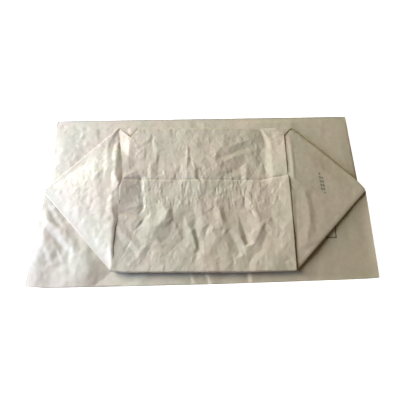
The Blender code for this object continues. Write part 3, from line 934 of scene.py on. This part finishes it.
flapFolds = (
    # far flap
    ((-106, 125, 0), (-105, 104, -9), (-102, 79, -6), (-104, 60, -2)),
    ((-100, 104, 2), (-92, 82, 7), (-94, 60, 3)), ((-108, 110, 5), (-125, 96, 5), (-134, 88, 2)),
    ((-110, 102, -3), (-121, 90, -3)), ((-119, 93, 5), (-118, 73, 6)), ((-113, 77, -4), (-115, 60, -4)),
    ((-109, 47, -3), (-110, 28, -6)), ((-104, 49, 6), (-102, 22, 6)), ((-90, 64, -5), (-89, 34, -7)),
    ((-34, 133, 3), (-34, 104, 3), (-33, 69, 8), (-35, 43, 12), (-34, 22, 10)),
    ((-50, 93, -3), (-38, 71, -5)), ((-29, 82, -4), (-27, 56, -4)),
    ((-22, 60, 4), (-19, 39, 12), (-19, 22, 15)), ((-13, 45, -2), (-12, 22, -8)),
    ((38, 109, 9), (35, 91, 12), (23, 79, 14), (20, 60, 14), (25, 47, 9), (33, 39, 3)),
    ((46, 88, 8), (62, 98, 9), (90, 109, 9), (106, 118, 6)),
    ((32, 67, -3), (61, 81, -6), (89, 92, -5), (99, 97, -3)),
    ((35, 58, 4), (69, 74, 7), (90, 82, 7), (97, 83, 4)),
    ((38, 32, -8), (52, 37, -10), (68, 47, -8), (83, 58, -5)),
    ((112, 132, -2), (120, 107, -6), (124, 96, -4)), ((117, 132, 9), (126, 114, 10), (132, 96, 9)),
    ((110, 82, -6), (114, 60, -7), (116, 39, -6), (115, 22, -5)),
    ((130, 82, 9), (130, 50, 11), (129, 24, 10)), ((103, 105, 3), (103, 84, 4), (98, 60, 3)),
    ((79, 50, 5), (79, 35, 7), (78, 22, 6)), ((87, 50, -3), (85, 22, -5)), ((100, 48, -3), (99, 22, -6)),
    ((134, 112, 6), (142, 96, 3)), ((141, 128, 5), (152, 121, 4)), ((-79, 38, 2), (-73, 22, 6)),
    ((-66, 41, 2), (-63, 22, 5)), ((-54, 22, -5), (-47, 36, -3)),
    ((-149, 92, 9), (-148, 65, 10), (-146, 50, 9), (-142, 38, 6)),
    # near flap
    ((-155, -53, 9), (-134, -56, 13), (-114, -61, 11), (-107, -63, 5)),
    ((-149, -47, 0), (-133, -50, -3), (-120, -52, -4)),
    ((-121, -15, 6), (-120, -32, 9), (-126, -43, 8), (-138, -46, 4)), ((-114, -19, -4), (-112, -40, -5)),
    ((-107, -9, 4), (-107, -27, 8), (-109, -42, 5)), ((-104, -50, 3), (-98, -43, 5), (-88, -38, 2)),
    ((-98, -52, 8), (-101, -61, 9), (-106, -70, 4)), ((-108, -56, -3), (-112, -65, -4)),
    ((-86, -19, 5), (-77, -32, 12), (-68, -46, 16), (-70, -58, 17), (-83, -70, 14), (-98, -79, 10),
     (-108, -88, 4)),
    ((-60, -34, -5), (-55, -64, -10), (-61, -88, -10), (-73, -99, -6)),
    ((-37, -50, -8), (-39, -76, -13), (-40, -98, -9)),
    ((-154, -68, 3), (-147, -84, 8), (-133, -96, 10), (-123, -106, 9), (-113, -115, 5)),
    ((-150, -96, -4), (-133, -108, -5), (-122, -118, -3)),
    ((-143, -72, -2), (-128, -85, -4), (-113, -99, -4)),
    ((-101, -97, 5), (-104, -111, 6), (-114, -127, 6), (-126, -136, 3)),
    ((-95, -111, -5), (-101, -127, -5), (-112, -139, -3)), ((-85, -94, 2), (-78, -104, 6), (-74, -118, 4)),
    ((-31, -68, 4), (-24, -81, 10), (-19, -97, 14), (-15, -109, 12), (-20, -122, 6), (-30, -130, 2)),
    ((-19, -72, -4), (-12, -94, -8), (-10, -115, -7)), ((-9, -22, 4), (-5, -49, 9), (-5, -75, 10)),
    ((-20, -38, -3), (-18, -57, -4)), ((0, -90, -9), (2, -79, -5)),
    ((10, -64, 6), (13, -79, 11), (19, -93, 11), (14, -104, 4)),
    ((20, -30, 5), (26, -40, 11), (28, -49, 14), (33, -70, 13), (37, -79, 7)),
    ((32, -26, -5), (35, -42, -9), (40, -61, -8)),
    ((52, -26, -6), (61, -49, -14), (68, -75, -18), (75, -102, -16)),
    ((83, -22, 4), (90, -38, 10), (98, -57, 16), (99, -75, 18), (91, -92, 13), (86, -102, 8)),
    ((76, -26, -8), (77, -51, -10), (78, -75, -11)), ((106, -75, -2), (109, -86, -4), (101, -103, -6)),
    ((109, -64, 9), (117, -71, 10), (129, -80, 7)), ((105, -24, 7), (118, -36, 8), (130, -49, 6)),
    ((115, -53, -1), (130, -66, -2)), ((53, -81, 4), (63, -93, 9), (70, -108, 11), (71, -120, 8)),
    ((41, -81, -5), (51, -97, -9), (60, -118, -9)), ((32, -90, 7), (41, -111, 6)),
    ((21, -115, -6), (22, -135, -4)), ((99, -113, -6), (81, -126, -9), (74, -142, -7)),
    ((120, -121, 5), (114, -138, 6)), ((134, -79, 3), (137, -111, 5)),
    ((-47, -106, -4), (-33, -110, 6), (-34, -126, 5)),
)

flapRelief = newRelief(-182, 184, -156, 142, 0.75)


def shapeFlaps():
    r = flapRelief
    x, y = r.x, r.y
    placed, *fine = flaps["nets"]
    r.z += softNoise(r, *flaps["swell"])
    r.z += soften(foldNet(r, flapFolds, *placed), 2)
    for net in fine:
        r.z += foldNet(r, (), *net)
    for crumples in flaps["crumples"]:
        addCrumples(r, *crumples)
    inside = x - valueAt(flapSides["left"], y)
    beside = valueAt(flapSides["right"], y) - x
    r.z = soften(r.z, 1) * (smoothStep(*flaps["sideFade"], inside) * smoothStep(*flaps["sideFade"], beside))
    r.z += soften(foldNet(r, broadFolds, *flaps["broadNet"]), 4)
    r.z += valueAt(flaps["nearLift"]["table"], x) * smoothStep(*flaps["nearLift"]["start"], y)
    # the left margin of the far flap bends down to the pocket
    margin = np.clip(1 - inside / valueAt(flaps["margin"], y), 0, 1)
    r.z -= flaps["marginDrop"] * smoothStep(*flaps["marginStart"], y) * margin
    r.wear = creaseWearAndShade(r.z)


shapeFlaps()


def flapSheet(name, isNear):
    columns, rows = (int(size / flaps["cell"]) for size in flaps["grid"])
    extra = flaps["creaseRows"]
    mesh, u, v = gridMesh(name, columns, rows + extra)
    row = np.rint(v * (rows + extra)).astype(int)
    t = np.clip((row - extra) / rows, 0, 1)
    creaseLine = flaps["nearCrease"] if isNear else flaps["farCrease"]
    sign = 1 if isNear else -1
    across = flaps["startWidth"] * (u - 0.5)
    for _ in range(flaps["fitRounds"]):  # the side edges depend on y, and the crease on x
        crease = valueAt(creaseLine, across)
        free = valueAt(flaps["freeEdge"], across) - (0 if isNear else flaps["overlap"])
        y = crease + sign * flaps["roll"] + (free - crease - sign * flaps["roll"]) * t
        lx, rx = valueAt(flapSides["left"], y), valueAt(flapSides["right"], y)
        across = 0.5 * across + 0.5 * (lx + (rx - lx) * u)
    x = across
    z = pouch["top"] + flaps["rise"] - pouch["droop"] * smoothStep(*pouch["slope"]["middle"], y)
    z += flaps["lay"] if isNear else 0
    z += readField(flapRelief, "z", x, y)
    toSeam = np.abs(y - valueAt(flaps["freeEdge"], x))
    depth, width = flaps["lap"][isNear]
    z -= depth * np.exp(-toSeam / width)
    lowest = pouch["base"] if isNear else pouch["base"] - pouch["baseDroop"]
    rolled = row < extra
    angle = (extra - row[rolled]) / extra * math.pi
    radiusZ = (z[rolled] - lowest + flaps["tuck"]) / 2
    y[rolled] -= sign * flaps["roll"] * np.sin(angle)
    z[rolled] += -radiusZ + radiusZ * np.cos(angle)
    placeVertices(mesh, x, y, z, readField(flapRelief, "wear", x, y))

    def thicken(bm):
        if not isNear:
            bmesh.ops.reverse_faces(bm, faces=bm.faces[:])
        bmesh.ops.solidify(bm, geom=bm.faces[:], thickness=flaps["thickness"] * 0.001)

    editMesh(mesh, thicken)
    addPiece(name, mesh, kraftPaper)
    print(name, len(mesh.polygons), "faces")


flapSheet("upperFlap", False)
flapSheet("lowerFlap", True)

# Pale floor, a cool window low on the left in two panes, a warm lamp farther off beyond it, and
# the room's weak fill. The light falls off along the sack and rakes over its creases.
studio = {
    "floor": {"Base Color": toLinear("#f4f4f2"), "Roughness": 0.9, "Emission Color": (1, 1, 1, 1),
              "Emission Strength": 0.95},
    "floorHalf": 3.0,
    "aim": (-0.05, 0, 0),
    "lights": {
        "window": {"place": (-1.15, 0.45, 0.38), "size": (0.8, 0.7), "watts": 20.5, "colour": "#9fb8ff"},
        "near": {"place": (-0.95, -0.1, 0.36), "size": (0.5, 0.6), "watts": 16.0, "colour": "#aecaff"},
        "lamp": {"place": (-2.7, 1.2, 0.98), "size": (1.6, 1.9), "watts": 190.0, "colour": "#fffbcb"},
    },
    "sky": ("#ffe4ad", 0.12),
}
floorMesh, _ = takeMesh(newGrid(1, 1, studio["floorHalf"]), "floor")
floor = addObject("floor", floorMesh)
floorMesh.materials.append(newMaterial("whiteFloor", studio["floor"])[0])

for name, lamp in studio["lights"].items():
    lightData = bpy.data.lights.new(name, "AREA")
    lightData.shape = "RECTANGLE"
    lightData.size, lightData.size_y = lamp["size"]
    lightData.energy = lamp["watts"]
    lightData.color = toLinear(lamp["colour"])[:3]
    light = addObject(name, lightData)
    light.location = lamp["place"]
    light.rotation_euler = (Vector(studio["aim"]) - light.location).to_track_quat("-Z", "Y").to_euler()

world = bpy.data.worlds.new("studio")
world.use_nodes = True
sky = world.node_tree.nodes["Background"].inputs
sky[0].default_value = toLinear(studio["sky"][0])
sky[1].default_value = studio["sky"][1]
scene.world = world
print("studio lit")
